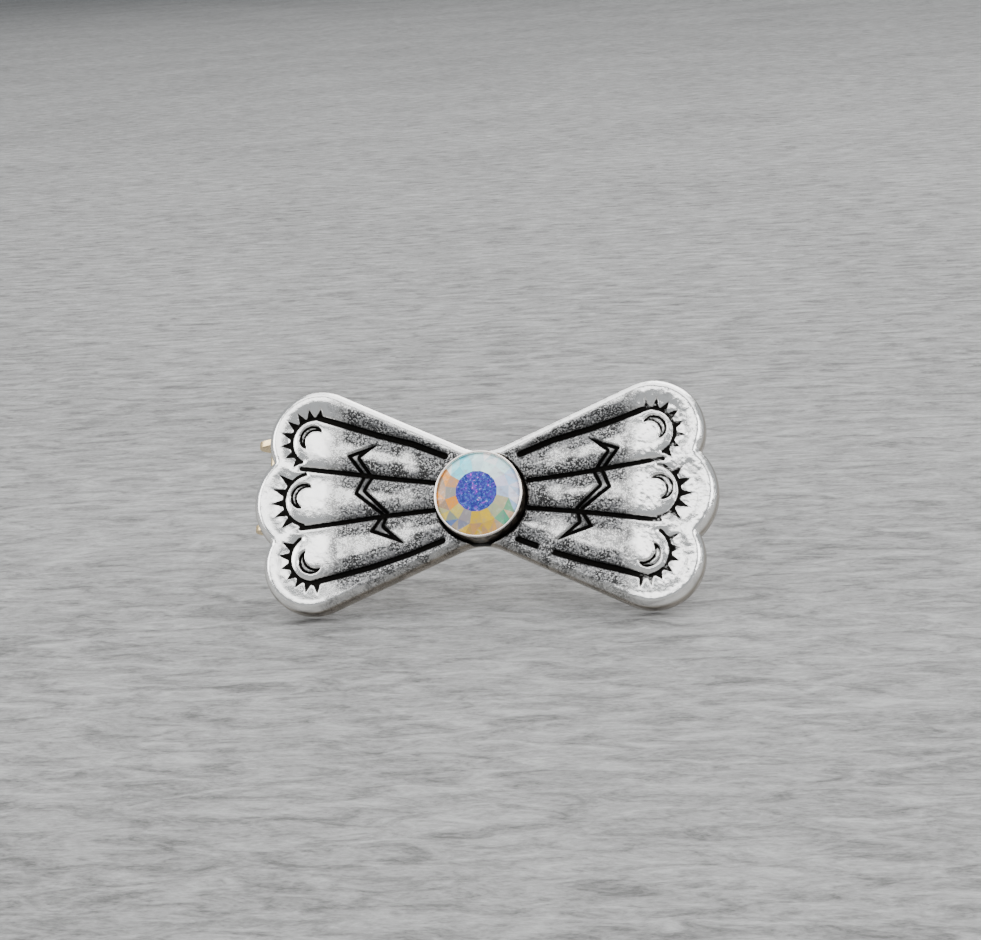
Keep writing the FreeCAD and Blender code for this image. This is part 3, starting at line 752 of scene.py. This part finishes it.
class Nodes:
    """A short way to write a material's nodes."""

    def __init__(self, name):
        self.material = bpy.data.materials.new(name)
        self.material.use_nodes = True
        self.tree = self.material.node_tree
        self.shader = self.tree.nodes["Principled BSDF"]

    def add(self, kind, **settings):
        node = self.tree.nodes.new(kind)
        for key, value in settings.items():
            setattr(node, key, value)
        return node

    def link(self, out, into):
        self.tree.links.new(out, into)

    def put(self, socket, value):
        """Sets an input to a number or colour, or links another node's output to it."""
        if isinstance(value, bpy.types.NodeSocket):
            self.link(value, socket)
        else:
            socket.default_value = value

    def place(self):
        return self.add("ShaderNodeTexCoord").outputs["Object"]

    def stretched(self, across):
        """The place, with each direction's pattern made longer or shorter."""
        node = self.add("ShaderNodeMapping")
        self.link(self.place(), node.inputs["Vector"])
        node.inputs["Scale"].default_value = across
        return node.outputs["Vector"]

    def noise(self, size_mm, detail=2.0, roughness=0.5, distortion=0.0, place=None):
        node = self.add("ShaderNodeTexNoise")
        self.link(place or self.place(), node.inputs["Vector"])
        node.inputs["Scale"].default_value = 1 / (size_mm * MM)
        node.inputs["Detail"].default_value = detail
        node.inputs["Roughness"].default_value = roughness
        node.inputs["Distortion"].default_value = distortion
        return node.outputs["Fac"]

    def ramp(self, value, low, high, to_low=0.0, to_high=1.0):
        """A value that goes from low to high, made to go from to_low to to_high and no further."""
        node = self.add("ShaderNodeMapRange", clamp=True)
        for name, number in (("From Min", low), ("From Max", high), ("To Min", to_low), ("To Max", to_high)):
            node.inputs[name].default_value = number
        self.put(node.inputs["Value"], value)
        return node.outputs["Result"]

    def math(self, operation, a, b=0.0):
        node = self.add("ShaderNodeMath", operation=operation)
        self.put(node.inputs[0], a)
        self.put(node.inputs[1], b)
        return node.outputs[0]

    def mix(self, share, a, b):
        node = self.add("ShaderNodeMix", data_type="RGBA")
        self.put(node.inputs[0], share)
        for socket, colour in ((node.inputs[6], a), (node.inputs[7], b)):
            self.put(socket, (*colour, 1.0) if isinstance(colour, tuple) else colour)
        return node.outputs[2]

    def attribute(self, name, output="Fac"):
        return self.add("ShaderNodeAttribute", attribute_name=name).outputs[output]

    def bump(self, height, depth_mm, normal=None):
        node = self.add("ShaderNodeBump")
        node.inputs["Strength"].default_value = 1.0
        node.inputs["Distance"].default_value = depth_mm * MM
        self.put(node.inputs["Height"], height)
        if normal is not None:
            self.link(normal, node.inputs["Normal"])
        return node.outputs["Normal"]

    def finish(self, **inputs):
        """Fills the shader's inputs, named with _ for each space, and gives the material."""
        for name, value in inputs.items():
            socket = self.shader.inputs[name.replace("_", " ")]
            if isinstance(value, tuple) and len(value) == 3:
                value = (*value, 1.0)
            self.put(socket, value)
        return self.material


SILVER = (0.95, 0.94, 0.92)
DULL_SILVER = (0.19, 0.19, 0.193)
BLACKENED = (0.006, 0.0055, 0.005)
# the darker, warm colour of the wall and back: painted shade
WARM_WALL_SHADE = (0.33, 0.27, 0.2)
CUP_LIP = (0.95, 0.88, 0.82)
CUP_WALL = ((0.03, 0.022, 0.016), (0.3, 0.25, 0.19))
CEMENT = ((0.46, 0.42, 0.33), (0.62, 0.58, 0.48))
# pale flashes are painted glints, dark flashes painted dark reflections
PAINTED_GLINT = (0.97, 0.95, 0.98)
PAINTED_DARK_REFLECTION = (0.35, 0.28, 0.36)
GLITTER_BLUE = (0.06, 0.2, 0.66)
GLITTER_VIOLET = (0.16, 0.03, 0.6)
GLITTER_MAGENTA = (0.85, 0.08, 0.85)
# white specks on the table: painted glints
PAINTED_GLINT_WHITE = (0.6, 0.75, 1.0)
# plated and drawn metals: the clean colour and the stained one
STEEL = ((0.72, 0.72, 0.71), (0.5, 0.49, 0.47))
BRASS = ((0.88, 0.68, 0.36), (0.42, 0.29, 0.13))
FOIL = ((0.85, 0.86, 0.9), (0.6, 0.62, 0.7))


def antique_silver():
    """Bright plated casting, black in its recesses, with dark grain where it isn't polished; the polish also
    carries painted highlights, the black a painted shadow under the cup, and the wall and back are painted
    darker as shade.
    """
    n = Nodes("antique_silver")
    recess = n.attribute("recess")
    polish_and_highlight = n.attribute("polish_and_highlight")
    grain = n.noise(0.15, detail=3.0, roughness=0.62)
    blotch = n.noise(1.1, detail=2.0, roughness=0.5)
    patchy = n.math("MULTIPLY", n.math("SUBTRACT", blotch, 0.5), 0.5)
    # the bright silver goes where the metal is worn and where highlights are painted
    worn_and_lit = n.math("ADD", polish_and_highlight, n.math("MULTIPLY", patchy, 1.2))
    dull_share = n.ramp(worn_and_lit, 0.1, 0.85, 1.0, 0.0)
    spots = n.math("ADD", grain, patchy)
    pits = n.math("MULTIPLY", n.ramp(spots, 0.52, 0.44), dull_share)
    flecks = n.ramp(n.math("SUBTRACT", grain, n.math("MULTIPLY", patchy, 0.35)), 0.52, 0.7)
    ragged = n.math("ADD", recess, n.math("MULTIPLY", n.math("SUBTRACT", grain, 0.5), 0.5))
    black = n.ramp(ragged, 0.38, 0.68)
    dull = n.math("MULTIPLY", dull_share, n.math("SUBTRACT", 1.0, n.math("MULTIPLY", flecks, 0.7)))
    tone = n.mix(dull, SILVER, DULL_SILVER)
    # painted shade: the wall and the back are made darker and warmer
    tone = n.mix(n.math("MULTIPLY", n.attribute("wall"), 0.8), tone, WARM_WALL_SHADE)
    dark = n.math("MAXIMUM", black, n.math("MULTIPLY", pits, 0.8))
    colour = n.mix(dark, tone, BLACKENED)
    rough = n.ramp(dull_share, 0.0, 1.0, 0.17, 0.3)
    rough = n.math("ADD", rough, n.math("MULTIPLY", dark, 0.3))
    fine = n.bump(n.noise(0.1, detail=2.0, roughness=0.6), 0.008)
    normal = n.bump(n.math("MULTIPLY", spots, n.ramp(dull_share, 0.0, 1.0, 0.15, 1.0)), 0.06, fine)
    return n.finish(Base_Color=colour, Metallic=1.0, Roughness=rough, Normal=normal)


def plated(name, bright, stained, clear=0.2, stain_from=0.5, grain_mm=0.5):
    """Plain plated or drawn metal: faint handling marks, and a darker film in patches."""
    n = Nodes(name)
    film = n.noise(grain_mm * 3, detail=3.0, roughness=0.6)
    marks = n.noise(grain_mm, detail=3.0, roughness=0.65, place=n.stretched((1.0, 6.0, 1.0)))
    stain = n.math("MULTIPLY", n.ramp(film, stain_from, stain_from + 0.25), 0.8)
    colour = n.mix(stain, bright, stained)
    rough = n.math("ADD", n.ramp(marks, 0.35, 0.7, clear, clear + 0.14), n.math("MULTIPLY", stain, 0.16))
    normal = n.bump(marks, 0.008, n.bump(n.noise(grain_mm * 0.4, detail=2.0), 0.004))
    return n.finish(Base_Color=colour, Metallic=1.0, Roughness=rough, Normal=normal)


def cup_metal():
    """The cup: a bright rolled lip over a dark, warm wall."""
    n = Nodes("cup_metal")
    film = n.noise(0.5, detail=3.0, roughness=0.6)
    ragged = n.math("ADD", n.attribute("lip"), n.math("MULTIPLY", n.math("SUBTRACT", film, 0.5), 0.9))
    bright = n.ramp(ragged, 0.35, 0.75)
    wall = n.mix(n.ramp(film, 0.42, 0.62), *CUP_WALL)
    colour = n.mix(bright, wall, CUP_LIP)
    rough = n.ramp(bright, 0.0, 1.0, 0.34, 0.14)
    return n.finish(Base_Color=colour, Metallic=1.0, Roughness=rough, Normal=n.bump(film, 0.012))


def cement():
    """Cured two-part cement: dull, milky, with a slightly wavy skin."""
    n = Nodes("cement")
    cloud = n.noise(0.8, detail=3.0, roughness=0.6)
    colour = n.mix(cloud, *CEMENT)
    rough = n.ramp(cloud, 0.3, 0.7, 0.4, 0.62)
    return n.finish(Base_Color=colour, Roughness=rough, Normal=n.bump(cloud, 0.03))


def crown_crystal():
    """Coated crown facets: each has a colour set by its direction, partly painted reflection, broken up by
    smaller flashes, which are painted glints and dark reflections.
    """
    n = Nodes("crown_crystal")
    tint_and_reflection = n.attribute("tint_and_reflection", "Color")
    cells = n.add("ShaderNodeTexVoronoi", feature="F1")
    n.link(n.place(), cells.inputs["Vector"])
    cells.inputs["Scale"].default_value = 1 / (0.62 * MM)
    flash = n.ramp(cells.outputs["Distance"], 0.15, 0.75)
    cloud = n.noise(0.5, detail=3.0, roughness=0.6)
    # painted glints and dark reflections over each facet's colour
    pale = n.mix(n.math("MULTIPLY", n.ramp(cloud, 0.55, 0.72), 0.3), tint_and_reflection, PAINTED_GLINT)
    dark = n.math("MULTIPLY", flash, n.ramp(cloud, 0.5, 0.36, 0.0, 0.45))
    colour = n.mix(dark, pale, PAINTED_DARK_REFLECTION)
    return n.finish(Base_Color=colour, Roughness=0.2, IOR=1.35, Coat_Weight=0.3, Coat_Roughness=0.03)


def table_crystal():
    """The flat table: deep blue glitter with violet and magenta specks, and white specks that are painted
    glints.
    """
    n = Nodes("table_crystal")
    tint_and_reflection = n.attribute("tint_and_reflection", "Color")
    glitter = n.noise(0.2, detail=3.0, roughness=0.75, distortion=0.6)
    specks = n.noise(0.38, detail=2.0, roughness=0.7, distortion=1.0)
    blue = n.mix(n.ramp(glitter, 0.45, 0.68), tint_and_reflection, GLITTER_BLUE)
    violet = n.mix(n.ramp(specks, 0.55, 0.68), blue, GLITTER_VIOLET)
    magenta = n.mix(n.ramp(n.math("MULTIPLY", specks, glitter), 0.355, 0.4), violet, GLITTER_MAGENTA)
    # painted glints
    white = n.mix(n.ramp(glitter, 0.64, 0.7), magenta, PAINTED_GLINT_WHITE)
    return n.finish(Base_Color=white, Roughness=0.25, IOR=1.2, Coat_Weight=0.1, Coat_Roughness=0.03)


# ---- camera ----

# direction from square on to the bow's face, in degrees, and the roll of the picture
CAMERA_TURN = 11.0
CAMERA_RISE = -15.0
CAMERA_ROLL = -1.35
# millimetres: how far off it is, how wide a strip it sees there, and its sensor's width
CAMERA_DISTANCE = 200.0
VIEW_WIDTH = 82.3
SENSOR_WIDTH = 36.0
# shift of the lens, as a share of the picture's width
SHIFT = (0.00775, 0.02864)
CLIP_RANGE = (0.01, 10.0)


def camera():
    """Looks at the bow's face from a little right of square and below its lean."""
    forward, aside = polar(CAMERA_TURN)
    flat, high = polar(CAMERA_RISE)
    back = Vector((aside * flat, -forward * flat, high))
    level = Vector((forward, aside, 0))
    upright = back.cross(level)
    across, tilt = polar(CAMERA_ROLL)
    right = level * across - upright * tilt
    up = level * tilt + upright * across
    data = bpy.data.cameras.new("camera")
    data.sensor_width = SENSOR_WIDTH
    data.lens = SENSOR_WIDTH * CAMERA_DISTANCE / VIEW_WIDTH
    data.shift_x, data.shift_y = SHIFT
    data.clip_start, data.clip_end = CLIP_RANGE
    obj = bpy.data.objects.new("camera", data)
    bpy.context.scene.collection.objects.link(obj)
    obj.rotation_mode = "QUATERNION"
    turned = AXES @ Matrix((right, up, back)).transposed()
    obj.rotation_quaternion = turned.to_quaternion()
    obj.location = PLATE @ (Vector((0, FACE / 2, 0)) + back * CAMERA_DISTANCE)
    bpy.context.scene.camera = obj


camera()
bow_mesh(antique_silver())
cup_piece(cup_metal())
stone_piece([crown_crystal(), table_crystal()])
pin_piece(plated("drawn_steel", *STEEL, clear=0.16, stain_from=0.6, grain_mm=0.3))

# the CAD nodes that stay, with the width of their rounded edges in millimetres
BRASS_NODES = {
    "pin_bar": 0.12,
    "catch_housing": 0.1,
    "catch_rotor": 0.08,
    "hinge_rivet": 0.1,
    "hinge_spacers": 0.05,
    "bar_rivets": 0.12,
}
brass = plated("brass", *BRASS)
for name, width in BRASS_NODES.items():
    soften(name, width, brass)
soften("stone_foil", 0.01, plated("foil", *FOIL, clear=0.08), segments=1)
soften("stone_adhesive", 0.01, cement(), segments=1)


# ---- floor and light ----


FLOOR_HALF = 3.0
STONE_GREYS = ((0.08, 0.079, 0.077), (0.35, 0.35, 0.345))
AIM_HEIGHT = 0.009
# name, azimuth and elevation in degrees, distance and size in metres, and brightness; azimuth 0 is in front
# of the object and 90 to its right
LIGHTS = (
    ("front_box", -11, 46, 0.6, (0.62, 0.22), 3.3),
    ("left_box", -80, 24, 0.5, (0.3, 0.3), 5.6),
    ("right_box", 74, 26, 0.5, (0.3, 0.3), 5.0),
    ("top_box", 180, 76, 1.4, (2.6, 1.3), 2.7),
    ("far_box", 180, 35, 1.6, (1.6, 0.6), 2.6),
    ("back_box", 165, 38, 0.6, (0.4, 0.25), 2.6),
)


def floor():
    """A slab of grey stone with fine streaks."""
    mesh = bpy.data.meshes.new("floor")
    corners = [(-1, -1), (1, -1), (1, 1), (-1, 1)]
    mesh.from_pydata([(x * FLOOR_HALF, y * FLOOR_HALF, 0) for x, y in corners], [], [(0, 1, 2, 3)])
    obj = bpy.data.objects.new("floor", mesh)
    bpy.context.scene.collection.objects.link(obj)
    n = Nodes("floor")
    streaks = n.noise(5.0, detail=5.0, roughness=0.68, distortion=0.8, place=n.stretched((1.0, 2.6, 1.0)))
    patches = n.noise(50.0, detail=3.0, roughness=0.55)
    fibres = n.noise(0.7, detail=3.0, roughness=0.7, distortion=0.4, place=n.stretched((1.0, 2.0, 1.0)))
    shade = n.math("ADD", n.math("MULTIPLY", streaks, 0.62), n.math("MULTIPLY", patches, 0.12))
    shade = n.math("ADD", shade, n.math("MULTIPLY", fibres, 0.26))
    colour = n.mix(n.ramp(shade, 0.38, 0.62), *STONE_GREYS)
    mesh.materials.append(n.finish(Base_Color=colour, Roughness=0.7, Normal=n.bump(fibres, 0.12)))


def area_light(name, azimuth, elevation, distance, size, radiance):
    """A soft box aimed at the object."""
    data = bpy.data.lights.new(name, "AREA")
    data.shape = "RECTANGLE"
    data.size, data.size_y = size
    data.energy = radiance * math.pi * size[0] * size[1]
    obj = bpy.data.objects.new(name, data)
    bpy.context.scene.collection.objects.link(obj)
    flat, height = polar(elevation, distance)
    forward, aside = polar(azimuth, flat)
    obj.location = (aside, -forward, height + AIM_HEIGHT)
    obj.rotation_mode = "QUATERNION"
    obj.rotation_quaternion = (Vector((0, 0, AIM_HEIGHT)) - obj.location).to_track_quat("-Z", "Y")


def world(strength, colour):
    made = bpy.data.worlds.new("world")
    made.use_nodes = True
    background = made.node_tree.nodes["Background"]
    background.inputs["Color"].default_value = (*colour, 1)
    background.inputs["Strength"].default_value = strength
    bpy.context.scene.world = made


floor()
world(0.5, (0.92, 0.96, 1.0))
for light in LIGHTS:
    area_light(*light)
